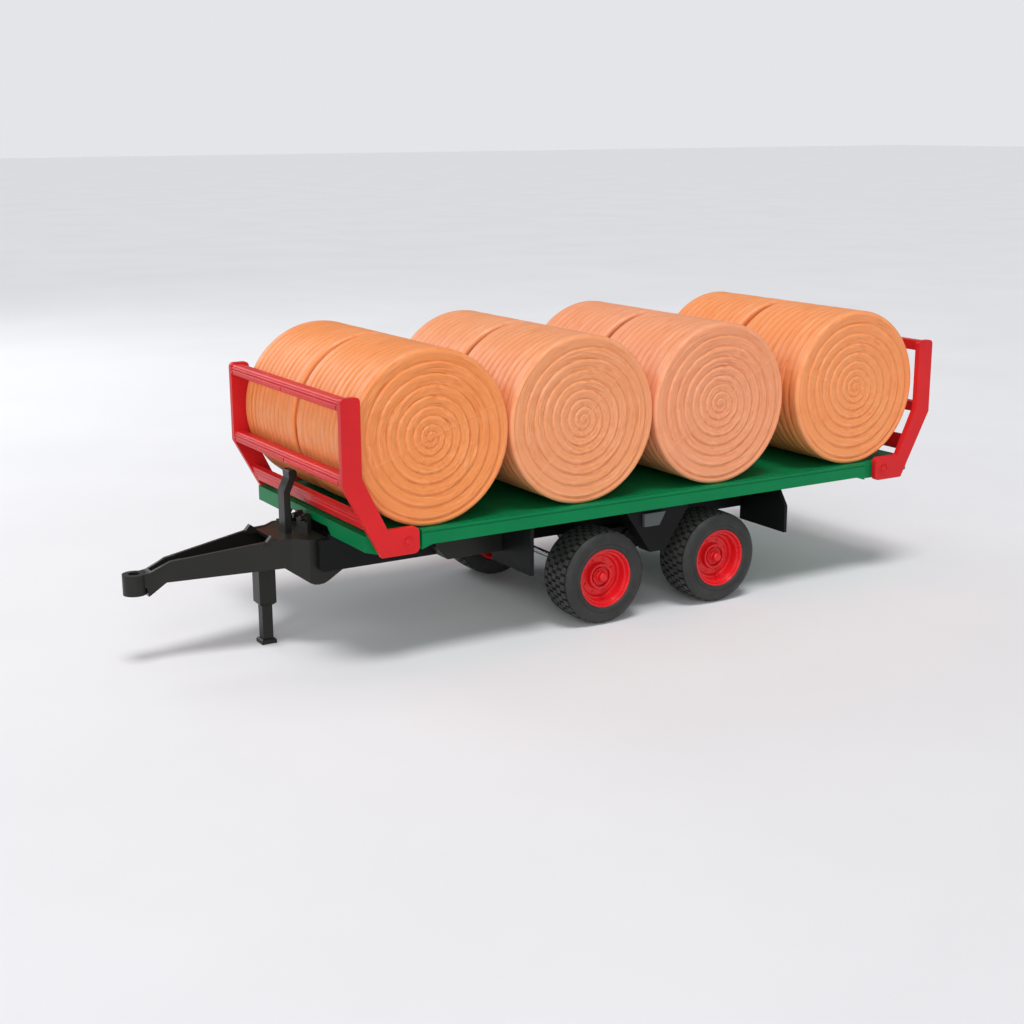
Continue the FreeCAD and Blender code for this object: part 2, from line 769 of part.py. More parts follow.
def make_hose_holder():
    """A flat post on the drawbar whose top leans back, and the hoses' couplings."""
    front, back, low = size.post_front, size.post_back, size.bridge_top
    head = front - 3.7
    corners = [(front, low), (front, 91.5), (head, 99.2), (head + 0.3, 103.2),
               (head - 0.6, 104), (head - 4, 104), (head - 5, 102.8), (head - 5.2, 99.6),
               (head - 3.4, 97), (back, 90.5), (back, low)]
    half = size.post_half
    keep(slab("hose_post", corners, (-half, half)), "hose_holder")

    root = size.bridge_back + 1.6
    height = size.coupling_height
    stubs = [block((root, root + 2.5), (-8, 8), (low, height + 1))]
    for _, side in sides():
        stubs.append(rod("X", 2.6, (root, root + 3.6), side * 5, height))
        stubs.append(rod("X", 1.7, (root, root + 6), side * 5, height))
    keep(fuse(*stubs), "hose_couplings")


# Gates ----------------------------------------------------------------------

def make_gate(name, end):
    """Two bent side plates and three rails that swing on pins in the deck."""
    pivot, pivot_z = size.deck_centre + end * size.gate_pivot, size.gate_pivot_z
    reach, inner = size.gate_reach, size.gate_reach - size.gate_plate_width
    top, bend = size.gate_top, size.gate_bend
    heel, toe, foot = size.foot_heel, size.foot_toe, size.foot_half_height
    plate = [(-heel, pivot_z - foot), (toe, pivot_z - foot), (reach, bend),
             (reach, top), (inner, top), (inner, bend + 3.3),
             (toe - 4, pivot_z + foot), (-heel, pivot_z + foot)]
    corners = [(pivot + end * u, z) for u, z in plate]
    outer = size.gate_outer
    past_pin = size.boss_ring_height + 1
    for side_name, side in sides():
        y = span(side, outer - size.plate_thickness, outer)
        body = slab(f"plate_{name}_{side_name}", corners, y)
        heel_x, reach_x, inner_x = (pivot - end * heel, pivot + end * reach,
                                    pivot + end * inner)
        low, high = pivot_z - foot, pivot_z + foot
        dress(body, "Fillet", 3.5, lambda edge: along_y_at(heel_x, low)(edge)
              or along_y_at(heel_x, high)(edge))
        dress(body, "Fillet", 2.6, lambda edge: along_y_at(reach_x, top)(edge)
              or along_y_at(inner_x, top)(edge))
        ring = cut(rod("Y", size.boss_ring, span(side, outer, outer
                                                 + size.boss_ring_height), pivot, pivot_z),
                   rod("Y", size.boss_ring_bore, span(side, outer, outer + past_pin),
                       pivot, pivot_z))
        hole = rod("Y", size.pin_radius, span(side, outer - 6, outer + 1), pivot, pivot_z)
        keep(cut(fuse(body, ring), hole), f"{name}_gate_{side_name}_plate")

    between = outer - size.plate_thickness
    for rail_name, profile in gate_rails():
        shape = [(pivot + end * u, z) for u, z in profile]
        rail = slab(f"{rail_name}_{name}", shape, (-between, between))
        slots = [rail_slot(pivot, end, rail_name, y) for y in (-between + 2, 0, between - 2)]
        keep(cut(rail, *slots), f"{name}_gate_{rail_name}_rail")

    pins = [rod("Y", size.pin_radius, span(side, size.pin_inner + 0.4, outer + 0.3),
                pivot, pivot_z) for _, side in sides()]
    keep(group(*pins), f"{name}_gate_pins")


def gate_rails():
    """Rail sections, as distances out from the pivot and heights."""
    for name, low in (("top", size.top_rail_bottom), ("middle", size.middle_rail_bottom)):
        yield name, upright_rail(low)
    yield "lower", [(25.15, 81.6), (27.6, 86.2), (27.5, 87), (28.4, 88.7), (28.3, 89.4),
                    (29.4, 91), (26.5, 92.6), (23.9, 83.2)]


def upright_rail(low):
    """A rounded front band below two grooves that run the rail's length."""
    reach, high = size.gate_reach, low + size.gate_rail_height
    return [(reach - 0.9, low), (reach, low + 0.9), (reach, low + 2.9),
            (reach - 0.7, low + 3.5), (reach - 0.1, low + 4.1), (reach - 0.1, low + 4.7),
            (reach - 0.8, low + 5.2), (reach - 0.5, low + 5.7), (reach - 1.4, high),
            (reach - size.rail_depth, high), (reach - size.rail_depth, low)]


def rail_slot(pivot, end, rail_name, y):
    """A small upright slot in the front of a rail."""
    lows = {"top": size.top_rail_bottom + 0.8, "middle": size.middle_rail_bottom + 0.8,
            "lower": size.lower_slot_bottom}
    low = lows[rail_name]
    out = size.gate_reach if rail_name != "lower" else size.lower_slot_reach
    x = along_x(pivot + end * (out - 0.9), end * 1.9)
    return block(x, (y - 0.6, y + 0.6), (low, low + 2.2))


# Bales ----------------------------------------------------------------------

def make_bale(name, x, side):
    """One hollow blow-moulded bale lying on its round side."""
    inner, outer, edge = size.bale_inner, size.bale_outer, size.bale_edge
    radius, wall = size.bale_radius, size.bale_wall
    soft = edge * 0.3
    skin = [(inner, 0), (inner, radius - edge), (inner + soft, radius - soft),
            (inner + edge, radius), (outer - edge, radius), (outer - soft, radius - soft),
            (outer, radius - edge), (outer, 0)]
    core = [(inner + wall, 0), (inner + wall, radius - edge),
            (inner + edge, radius - wall), (outer - edge, radius - wall),
            (outer - wall, radius - edge), (outer - wall, 0)]
    solids = []
    for part, profile in (("skin", skin), ("core", core)):
        body = new_body(f"{part}_{name}")
        revolve(body, outline(body, "YZ", profile))
        solids.append(body)
    bale = cut(*solids)
    turned = Rotation(Vector(0, 0, 1), 0 if side > 0 else 180)
    place(bale, x, 0, size.deck_top + radius, turned)
    keep(bale, name)


# Whole trailer --------------------------------------------------------------

def make_bales():
    for row, x in enumerate(BALE_ROWS, start=1):
        for side_name, side in sides():
            make_bale(f"bale_{row}_{side_name}", x, side)


def check_document():
    doc.recompute()
    failed = [item.Label for item in doc.Objects
              if "Invalid" in item.State or "Error" in item.State]
    failed += [item.Label for item in pieces
               if item.Shape.isNull() or not item.Shape.isValid()]
    if failed:
        raise RuntimeError(f"failed objects: {failed}")


make_deck()
make_chassis()
make_mudguards()
make_bogie()
make_drawbar()
make_jack()
make_hose_holder()
make_gate("front", 1)
make_gate("rear", -1)
make_bales()
check_document()

os.makedirs("parts", exist_ok=True)
for piece in pieces:
    piece.Shape.exportStep(f"parts/{piece.Label}.step")
print(f"{len(pieces)} sub-parts written")
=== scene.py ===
"""Looks of the toy bale trailer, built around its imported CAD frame.

Lengths are in metres in the CAD's frame: +X points to the hitch, +Y to the
trailer's left side and +Z up.
"""

import json
import math

import bmesh
import bpy
import numpy as np
from mathutils import Matrix, Vector


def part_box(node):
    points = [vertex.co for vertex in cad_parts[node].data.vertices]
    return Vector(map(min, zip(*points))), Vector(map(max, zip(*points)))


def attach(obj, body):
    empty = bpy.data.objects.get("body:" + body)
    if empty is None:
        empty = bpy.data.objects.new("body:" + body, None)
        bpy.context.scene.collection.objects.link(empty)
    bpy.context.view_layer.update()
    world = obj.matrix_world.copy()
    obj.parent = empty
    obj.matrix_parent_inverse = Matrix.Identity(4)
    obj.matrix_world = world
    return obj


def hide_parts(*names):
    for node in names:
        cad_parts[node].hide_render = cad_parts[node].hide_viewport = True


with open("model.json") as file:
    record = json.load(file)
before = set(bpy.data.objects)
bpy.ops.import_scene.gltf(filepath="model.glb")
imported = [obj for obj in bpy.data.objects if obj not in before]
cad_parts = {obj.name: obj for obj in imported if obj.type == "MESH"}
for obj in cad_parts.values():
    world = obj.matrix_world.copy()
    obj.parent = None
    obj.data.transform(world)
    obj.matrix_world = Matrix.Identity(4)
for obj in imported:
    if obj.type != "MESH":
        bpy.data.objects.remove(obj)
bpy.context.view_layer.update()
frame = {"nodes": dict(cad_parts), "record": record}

MM = 0.001
TURN = 2 * math.pi
SIDES = {"left": 1, "right": -1}
ENDS = ("front", "rear")
BALE_ROWS = 4

# How finely a bale is drawn: points round it, rings on a face, on its rounded
# edge and on each hoop.
BALE_STEPS = 256
FACE_RINGS = 112
EDGE_RINGS = 6
HOOP_SAMPLES = 10

# The coil on a bale's face. An exponent below 1 widens the coils outwards, and
# the crest is a share of the way from a coil's inner groove to its outer one.
# The knob at the centre fills the grooves there, and a rounded edge follows
# where the relief has faded; its height only picks its colour, a share of the
# painted crest highlight.
FACE_CENTRE = 0.7 * MM
COIL_TURNS = 9
COIL_DEPTH = 1.1 * MM
COIL_EXPONENT = 0.75
COIL_WOBBLE = 0.06
COIL_LEVEL, COIL_UNEVENNESS, COIL_FLOOR = 0.9, 0.07, 0.04
CREST = 0.8
CREASE_DEPTH = 0.26
CREASE_THRESHOLD = 0.15
KNOB_RADIUS = 2.4 * MM
KNOB_FILL = 0.6
EDGE_BAND = 2.6 * MM
EDGE_RELIEF = 0.2
# The rounded edge's height, which gives it a share of the painted crest highlight.
EDGE_HEIGHT = 0.95

# The hoops round a bale's barrel.
HOOPS = 11
HOOP_DEPTH = 0.9 * MM
HOOP_DRIFT = 0.05
HOOP_EXPONENT = 0.7
HOOP_LEVEL, HOOP_UNEVENNESS, HOOP_FLOOR = 0.9, 0.1, 0.05

# The line where the halves of a bale's mould met: its angle in each row, in
# degrees, and how much further round it lies on the right-hand bales.
SEAM_WIDTH = 0.35 * MM
SEAM_HEIGHT = 0.25 * MM
PARTING_ANGLES = {1: -20, 2: -44, 3: -33, 4: 17}
PARTING_TURN = 74

# Tyres. The stops are where points stand within one pitch of the blocks. The
# wall's rings run from the bead to the tread, each with how far it lies inside
# the tyre's half-width and above the bead, or below the tread, in mm.
TREAD_PITCHES = 34
PITCH_STOPS = (0, 0.12, 0.17, 0.25, 0.33, 0.38, 0.5, 0.62, 0.67, 0.75, 0.83, 0.88)
TREAD_ROWS = 5
TREAD_DEPTH = 1.4 * MM
TREAD_INSET = 3.5 * MM
TREAD_CROWN = 0.4 * MM
BLOCK_GAP = 0.15
BLOCK_SIDE = 0.14 * MM
ROW_GAP = 0.32 * MM
BEAD_SHARE = 0.627
BEAD_WALL = ((1.6, -0.3), (0.7, 0.3), (0.1, 1.4), (0, 2.6), (0.3, 2.9), (0.05, 3.4), (0, 5.0))
SHOULDER_WALL = ((0.5, 3.9), (1.5, 2.1), (2.7, 0.95))
WALL_RELIEF = 0.3

# Domes in a ring on a wheel's disc, which lies this far inside the rim's face.
WHEEL_STUDS = 8
STUD_CIRCLE = 10.6 * MM
STUD_RADIUS = 0.8 * MM
RIM_DISH = 8.4 * MM

# Softened edges, with the angles in degrees, and where a divider's badge begins.
EDGE_RADIUS = 0.25 * MM
EDGE_SEGMENTS = 2
MERGE_DISTANCE = 1e-6
FLAT_ANGLE = 0.5
SHARP_ANGLE = 28
SMOOTH_ANGLE = 35
TREAD_SMOOTH_ANGLE = 38
BADGE_FACE = 72.2 * MM

# The stage: the camera, with its angles in degrees and its lens and sensor in
# mm, the floor, and where the area lights point.
CAMERA_PLACE = (0.52565, 0.8488, 0.3009)
CAMERA_AZIMUTH = 148.905
CAMERA_ELEVATION = 14.075
CAMERA_ROLL = -0.279
CAMERA_LENS = 55.58
CAMERA_SENSOR = 36
CAMERA_SHIFT = 0.0078
FLOOR_SIZE = 30
LIGHT_TARGET = (0, 0, 0.08)


# Materials --------------------------------------------------------------------

class Shader:
    """A Principled material whose nodes read the object's own coordinates."""

    def __init__(self, name):
        self.material = bpy.data.materials.new(name)
        self.material.use_nodes = True
        self.tree = self.material.node_tree
        self.surface = self.tree.nodes["Principled BSDF"]
        self.place = self.node("ShaderNodeTexCoord").outputs["Object"]

    def node(self, kind, **settings):
        node = self.tree.nodes.new(kind)
        for key, value in settings.items():
            setattr(node, key, value)
        return node

    def link(self, value, socket):
        """Joins an output to a socket, or sets the socket to a plain value."""
        if isinstance(value, bpy.types.NodeSocket):
            self.tree.links.new(value, socket)
        else:
            socket.default_value = value

    def stretched(self, scale):
        """The object's coordinates, scaled along each axis."""
        mapping = self.node("ShaderNodeMapping")
        self.link(self.place, mapping.inputs["Vector"])
        self.link(scale, mapping.inputs["Scale"])
        return mapping.outputs["Vector"]

    def round_axis(self, around, along):
        """Coordinates that change slowly round the Y axis and fast along or across it."""
        flat = self.vector("MULTIPLY", self.place, (1, 0, 1))
        turned = self.vector("SCALE", self.vector("NORMALIZE", flat), scale=around)
        height = self.vector("MULTIPLY", self.place, (0, along, 0))
        reach = self.vector("LENGTH", flat, output="Value")
        rise = self.node("ShaderNodeCombineXYZ")
        self.link(self.times(reach, along), rise.inputs["Y"])
        return self.vector("ADD", self.vector("ADD", turned, height), rise.outputs[0])

    def vector(self, operation, first, second=None, scale=None, output="Vector"):
        node = self.node("ShaderNodeVectorMath", operation=operation)
        self.link(first, node.inputs[0])
        if second is not None:
            self.link(second, node.inputs[1])
        if scale is not None:
            self.link(scale, node.inputs["Scale"])
        return node.outputs[output]

    def times(self, first, second):
        node = self.node("ShaderNodeMath", operation="MULTIPLY")
        self.link(first, node.inputs[0])
        self.link(second, node.inputs[1])
        return node.outputs[0]

    def noise(self, scale, detail, place=None):
        node = self.node("ShaderNodeTexNoise")
        self.link(place or self.place, node.inputs["Vector"])
        self.link(scale, node.inputs["Scale"])
        self.link(detail, node.inputs["Detail"])
        return node.outputs["Fac"]

    def remap(self, value, source, target=(0.0, 1.0)):
        """The value moved from one range to another and kept inside it."""
        node = self.node("ShaderNodeMapRange")
        for socket, number in zip(node.inputs, (value, *source, *target)):
            self.link(number, socket)
        return node.outputs["Result"]

    def mix(self, factor, first, second):
        node = self.node("ShaderNodeMix", data_type="RGBA")
        self.link(factor, node.inputs["Factor"])
        colours = [socket for socket in node.inputs if socket.type == "RGBA"]
        self.link(first, colours[0])
        self.link(second, colours[1])
        return next(socket for socket in node.outputs if socket.type == "RGBA")

    def bump(self, height, strength, distance):
        node = self.node("ShaderNodeBump")
        self.link(height, node.inputs["Height"])
        self.link(strength, node.inputs["Strength"])
        self.link(distance, node.inputs["Distance"])
        self.link(node.outputs["Normal"], self.surface.inputs["Normal"])

    def relief(self):
        """How high a point of a moulded relief lies, from 0 to 1."""
        return self.node("ShaderNodeAttribute", attribute_name="relief").outputs["Fac"]

    def set(self, **inputs):
        """Sets inputs of the surface, named as on the node with underscores."""
        for key, value in inputs.items():
            name = key.replace("_", " ")
            self.link(value, self.surface.inputs[name])


def linear(red, green, blue):
    """A display colour, from 0 to 255, as linear light."""
    def channel(value):
        value /= 255
        return value / 12.92 if value < 0.04045 else ((value + 0.055) / 1.055) ** 2.4
    return (channel(red), channel(green), channel(blue), 1.0)


def tinted(colour, red, green, blue):
    return (colour[0] * red, colour[1] * green, colour[2] * blue, 1.0)


def paler(colour, gain, lift):
    return tuple(min(1.0, channel * gain + lift) for channel in colour[:3]) + (1.0,)


def moulded_plastic(name, colour, roughness, gloss, grain=0.1, mottle=0.08):
    """Injection-moulded plastic: faint flow marks, fine grain and handling haze."""
    shader = Shader(name)
    tone = shader.remap(shader.noise(scale=26, detail=4), (0.3, 0.7))
    dark, pale = (tinted(colour, *[1 + change] * 3) for change in (-mottle, mottle))
    shader.set(Base_Color=shader.mix(tone, dark, pale))
    haze = shader.noise(scale=60, detail=3)
    shader.set(Roughness=shader.remap(haze, (0.3, 0.7), (roughness - 0.02, roughness + 0.03)))
    shader.bump(shader.noise(scale=2600, detail=2), strength=grain, distance=0.04 * MM)
    shader.set(IOR=1.49, Specular_IOR_Level=gloss)
    return shader.material


def bale_plastic(name, colour):
    """Soft blow-moulded plastic combed round the axis, with painted shade in the grooves and a
    painted highlight on the crests.
    """
    shader = Shader(name)
    # Painted shade for the grooves and a painted highlight for the crests, chosen by the
    # relief's height.
    groove = tinted(colour, 0.84, 0.64, 0.46)
    crest = paler(colour, gain=1.08, lift=0.1)
    relief = shader.relief()
    body = shader.mix(shader.remap(relief, (0.0, 0.5)), groove, colour)
    top = shader.mix(shader.remap(relief, (0.86, 1.0), (0.0, 0.4)), body, crest)

    coarse = shader.noise(1.0, 2, shader.round_axis(around=3.2, along=520))
    fine = shader.noise(1.0, 2, shader.round_axis(around=7.5, along=1500))
    fibres = shader.mix(0.5, coarse, fine)
    # Fine streaks along the fibres, in patches: painted shade in the dark ones and a painted
    # highlight in the pale ones.
    streak_patches = shader.remap(shader.noise(scale=48, detail=2), (0.42, 0.62), (0.35, 1.0))
    painted_shade_streak = shader.times(streak_patches, shader.remap(fibres, (0.38, 0.5), (0.6, 0.0)))
    painted_highlight_streak = shader.times(streak_patches, shader.remap(fibres, (0.54, 0.65), (0.0, 0.55)))
    streaked = shader.mix(painted_highlight_streak, shader.mix(painted_shade_streak, top, groove), crest)

    patches = shader.remap(shader.noise(scale=30, detail=3), (0.35, 0.72), (0.0, 0.3))
    warm = tinted(colour, 1.0, 0.86, 0.7)
    shader.set(Base_Color=shader.mix(patches, streaked, warm))
    haze = shader.noise(scale=140, detail=4)
    shader.set(Roughness=shader.remap(haze, (0.3, 0.7), (0.32, 0.46)))
    shader.bump(fibres, strength=0.9, distance=0.5 * MM)
    shader.set(IOR=1.46, Subsurface_Weight=0.12, Subsurface_Scale=0.002)
    shader.set(Subsurface_Radius=(1.0, 0.45, 0.2))
    return shader.material


def tyre_rubber():
    """Dull rubber, greyer in random worn patches, with a painted highlight on the tops of the
    blocks.
    """
    shader = Shader("tyre_rubber")
    wear = shader.remap(shader.noise(scale=60, detail=6), (0.4, 0.75), (0.1, 0.65))
    base = shader.mix(wear, linear(30, 31, 30), linear(58, 59, 56))
    # A painted highlight: the tops of the blocks paler grey than the grooves.
    top = shader.remap(shader.relief(), (0.6, 1.0), (0.0, 0.35))
    shader.set(Base_Color=shader.mix(top, base, linear(78, 79, 76)))
    haze = shader.noise(scale=220, detail=4)
    shader.set(Roughness=shader.remap(haze, (0.3, 0.7), (0.5, 0.68)))
    shader.bump(shader.noise(scale=1900, detail=3), strength=0.3, distance=0.08 * MM)
    return shader.material


def steel():
    """Drawn bar and stamped sheet, with fine lines along Y."""
    shader = Shader("steel")
    lines = shader.noise(1800, 3, shader.stretched((1, 0.03, 1)))
    shader.set(Base_Color=shader.mix(lines, (0.42, 0.42, 0.43, 1), (0.62, 0.62, 0.6, 1)))
    shader.set(Metallic=1.0)
    shader.set(Roughness=shader.remap(lines, (0.3, 0.7), (0.24, 0.42)))
    shader.bump(lines, strength=0.15, distance=0.03 * MM)
    return shader.material


def floor_paper():
    shader = Shader("floor_paper")
    tone = shader.remap(shader.noise(scale=5, detail=3), (0.3, 0.7))
    shader.set(Base_Color=shader.mix(tone, (0.8, 0.8, 0.82, 1), (0.83, 0.83, 0.85, 1)))
    haze = shader.noise(scale=40, detail=3)
    shader.set(Roughness=shader.remap(haze, (0.3, 0.7), (0.7, 0.8)))
    return shader.material


MATERIALS = {
    "deck_green": moulded_plastic("deck_green", linear(0, 122, 70), roughness=0.36, gloss=0.15),
    "gate_red": moulded_plastic("gate_red", linear(212, 34, 38), roughness=0.36, gloss=0.22),
    "rim_red": moulded_plastic("rim_red", linear(216, 24, 32), roughness=0.26, gloss=0.45),
    "black_plastic": moulded_plastic("black_plastic", linear(31, 31, 28), roughness=0.36,
                                     gloss=0.3, grain=0.16, mottle=0.12),
    "tyre_black": tyre_rubber(),
    "steel": steel(),
}
# A darker copy of the black plastic, painted shade for the black parts under the deck.
PAINTED_SHADE_PLASTIC = moulded_plastic("painted_shade_plastic", linear(20, 21, 22), roughness=0.45,
                                 gloss=0.15, grain=0.16, mottle=0.12)
PAINTED_SHADE_NODES = ("chassis_", "wheel_divider_", "front_mud_flap_", "rear_mud_flap_")
BADGE_PLASTIC = moulded_plastic("badge_plastic", linear(84, 90, 90), roughness=0.4, gloss=0.3)
BALE_PLASTICS = {
    1: bale_plastic("bale_plastic_1", linear(240, 148, 82)),
    2: bale_plastic("bale_plastic_2", linear(238, 158, 108)),
    3: bale_plastic("bale_plastic_3", linear(238, 158, 114)),
    4: bale_plastic("bale_plastic_4", linear(243, 154, 94)),
}


# Making pieces ----------------------------------------------------------------

def body_of(node):
    bodies = frame["record"]["behaviour"]["bodies"]
    return next(body for body, nodes in bodies.items() if node in nodes)


def slot_of(node):
    parts = frame["record"]["subparts"]
    return next(part["material_slot"] for part in parts if part["node"] == node)


def stand_for(piece, node, material):
    """The piece rides where a CAD node does and is shown in its place."""
    piece.data.materials.clear()
    piece.data.materials.append(material)
    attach(piece, body_of(node))
    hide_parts(node)


def new_piece(name, mesh):
    piece = bpy.data.objects.new(name, mesh)
    bpy.context.scene.collection.objects.link(piece)
    return piece


def softened(node):
    """A copy of a CAD node with the small edge radii that a mould leaves."""
    mesh = frame["nodes"][node].data.copy()
    net = bmesh.new()
    net.from_mesh(mesh)
    bmesh.ops.remove_doubles(net, verts=net.verts, dist=MERGE_DISTANCE)
    bmesh.ops.dissolve_limit(net, angle_limit=math.radians(FLAT_ANGLE), verts=net.verts,
                             edges=net.edges)
    limit = math.radians(SHARP_ANGLE)
    edges = [edge for edge in net.edges
             if edge.is_manifold and edge.calc_face_angle() > limit]
    bmesh.ops.bevel(net, geom=edges, offset=EDGE_RADIUS, segments=EDGE_SEGMENTS,
                    profile=0.5, affect="EDGES", clamp_overlap=True)
    smooth_by_angle(net, SMOOTH_ANGLE)
    net.to_mesh(mesh)
    net.free()
    piece = new_piece(f"{node}_moulded", mesh)
    piece.modifiers.new("even_normals", "WEIGHTED_NORMAL").keep_sharp = True
    # Black parts under the deck take the darker copy, painted shade.
    in_painted_shade = slot_of(node) == "black_plastic" and node.startswith(PAINTED_SHADE_NODES)
    stand_for(piece, node, PAINTED_SHADE_PLASTIC if in_painted_shade else MATERIALS[slot_of(node)])
    if node.startswith("wheel_divider_"):
        mesh.materials.append(BADGE_PLASTIC)
        for face in mesh.polygons:
            face.material_index = int(abs(face.center.y) > BADGE_FACE)


def smooth_by_angle(net, degrees):
    """Smooth faces, with the edges that bend more than this kept sharp."""
    for face in net.faces:
        face.smooth = True
    for edge in net.edges:
        edge.smooth = not (edge.is_manifold and
                           edge.calc_face_angle() > math.radians(degrees))


def ring_mesh(name, rings, heights, capped=False):
    """A closed surface of rings of points, joined in order; each ring closes too.

    A point joins the first ring up if they are capped, and another the last ring;
    otherwise the last ring joins the first.
    """
    count, steps, _ = rings.shape
    rows = [(row, row + 1) for row in range(count - 1)]
    if not capped:
        rows.append((count - 1, 0))
    here = np.arange(steps)
    after = (here + 1) % steps
    faces = [quad for low, high in rows
             for quad in np.stack([low * steps + here, low * steps + after,
                                   high * steps + after, high * steps + here], 1).tolist()]
    points = rings.reshape(-1, 3)
    relief = heights.reshape(-1)
    if capped:
        points = np.vstack([points, rings[0].mean(0), rings[-1].mean(0)])
        relief = np.append(relief, [relief[0], relief[-1]])
        first, last = count * steps, (count - 1) * steps
        faces += np.stack([after, here, np.full(steps, first)], 1).tolist()
        faces += np.stack([last + here, last + after, np.full(steps, first + 1)],
                          1).tolist()
    mesh = bpy.data.meshes.new(name)
    mesh.from_pydata(points.tolist(), [], faces)
    mesh.polygons.foreach_set("use_smooth", np.ones(len(faces), bool))
    mesh.attributes.new("relief", "FLOAT", "POINT").data.foreach_set("value", relief)
    net = bmesh.new()
    net.from_mesh(mesh)
    bmesh.ops.recalc_face_normals(net, faces=net.faces)
    net.to_mesh(mesh)
    net.free()
    return mesh


def polar_points(radius, angle, y):
    """Points on circles about Y."""
    return np.stack([radius * np.cos(angle), y + 0 * radius, radius * np.sin(angle)], 2)


def waves(seed, count, *fields):
    """Smooth noise from about -1 to 1: a few sine waves through the given fields.

    Each field comes with its highest frequency and with whether frequencies are
    whole numbers, which keep an angle's field seamless.
    """
    random = np.random.default_rng(seed)
    total = 0
    for _ in range(count):
        phase = random.uniform(0, TURN)
        for values, highest, whole in fields:
            frequency = random.uniform(-highest, highest)
            phase = phase + values * (round(frequency) if whole else frequency)
        total = total + np.sin(phase)
    return total / math.sqrt(count)


# Bales ------------------------------------------------------------------------

def coil_section(phase):
    """Across one coil, from its inner groove to its outer one: a convex slope
    up to the crest and a short drop beyond it."""
    across = phase % 1.0
    rise = (across / CREST).clip(0, 1) ** 0.5
    fall = 1 - ((across - CREST) / (1 - CREST)).clip(0, 1) ** 2
    return rise * np.sqrt(fall)


def coil_height(radius, angle, edge, seed):
    """How high the coiled relief of a bale's face stands, from 0 to 1."""
    share = radius / edge
    wobble = waves(seed, 6, (angle, 3, True), (share, 6, False))
    phase = share ** COIL_EXPONENT * COIL_TURNS - angle / TURN
    phase = phase + COIL_WOBBLE * wobble * np.minimum(1, 3 * share)
    turn = np.floor(phase)
    patch = waves(seed + 2, 6, (angle, 4, True), (turn, 7, False))
    creases = waves(seed + 1, 9, (angle, 12, True), (share, 240, False))
    creases = CREASE_DEPTH * (patch - CREASE_THRESHOLD).clip(0, 1) * creases
    level = COIL_UNEVENNESS * waves(seed + 4, 4, (angle, 4, True), (turn, 5, False))
    return (coil_section(phase) * (COIL_LEVEL + level) + creases + COIL_FLOOR).clip(0, 1)


def hoop_height(along, angle, seed):
    """How high the net's rings stand round a bale, along from 0 to 1."""
    drift = waves(seed, 4, (angle, 3, True), (along, 6, False))
    across = 2 * ((along * HOOPS + HOOP_DRIFT * drift) % 1.0) - 1
    ring = (1 - across ** 2) ** HOOP_EXPONENT
    hoop = np.floor(along * HOOPS)
    level = HOOP_UNEVENNESS * waves(seed + 1, 5, (angle, 5, True), (hoop, 9, False))
    return (ring * (HOOP_LEVEL + level) + HOOP_FLOOR).clip(0, 1)


def seam_height(distance):
    """A thin raised line where the two halves of the mould met."""
    return SEAM_HEIGHT * np.exp(-(distance / SEAM_WIDTH) ** 2)


def make_bale(row, side_name):
    """Both faces and the barrel; each bale and face has irregularities of its own."""
    node = f"bale_{row}_{side_name}"
    seed = 100 * row + 10 * (SIDES[side_name] + 1)
    low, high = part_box(node)
    centre = (low + high) / 2
    radius = (high.z - low.z) / 2
    angle = np.arange(BALE_STEPS) * TURN / BALE_STEPS
    lean = PARTING_ANGLES[row] + (0 if side_name == "left" else PARTING_TURN)
    parting = round(lean / 360 * BALE_STEPS) * TURN / BALE_STEPS
    off_line = np.sin(angle - parting)

    right, right_height = bale_face(node, radius, angle, off_line, -1, seed - 1)
    left, left_height = bale_face(node, radius, angle, off_line, 1, seed + 1)
    barrel, barrel_height = bale_barrel(node, radius, angle, off_line, seed + 50)
    mesh = ring_mesh(node, np.concatenate([right, barrel, left[::-1]]),
                     np.concatenate([right_height, barrel_height, left_height[::-1]]),
                     capped=True)
    piece = new_piece(f"{node}_coiled", mesh)
    piece.location = (centre.x, 0, centre.z)
    stand_for(piece, node, BALE_PLASTICS[row])


def bale_face(node, radius, angle, off_line, end, seed):
    """Rings from the centre of one end face out to where the barrel begins."""
    low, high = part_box(node)
    outside = high.y if end > 0 else low.y
    face = radius - EDGE_BAND
    flat = np.linspace(FACE_CENTRE, face, FACE_RINGS)[:, None]
    height = coil_height(flat, end * angle[None], face, seed)
    knob = 1 - np.minimum(1, (flat / KNOB_RADIUS) ** 2)
    fade = np.minimum(1, (face - flat) / MM + EDGE_RELIEF)
    seam = seam_height(flat * off_line[None])
    lift = (height - 1) * COIL_DEPTH * fade * (1 - KNOB_FILL * knob) + seam
    around = np.broadcast_to(angle[None], lift.shape)
    disc = polar_points(flat + 0 * lift, around, outside + end * np.minimum(lift, 0))

    corner = np.linspace(0, math.pi / 2, EDGE_RINGS + 2)[1:-1, None]
    reach = face + EDGE_BAND * np.sin(corner) + 0 * angle[None]
    drop = EDGE_BAND * (1 - np.cos(corner)) + 0 * angle[None]
    bend = polar_points(reach, around[:EDGE_RINGS], outside - end * drop)
    # The seam takes a crest's height, and so the painted crest highlight; the edge takes a
    # share of it.
    height = np.maximum(height, seam / SEAM_HEIGHT)
    plain = np.full(reach.shape, EDGE_HEIGHT)
    return np.concatenate([disc, bend]), np.concatenate([height, plain])


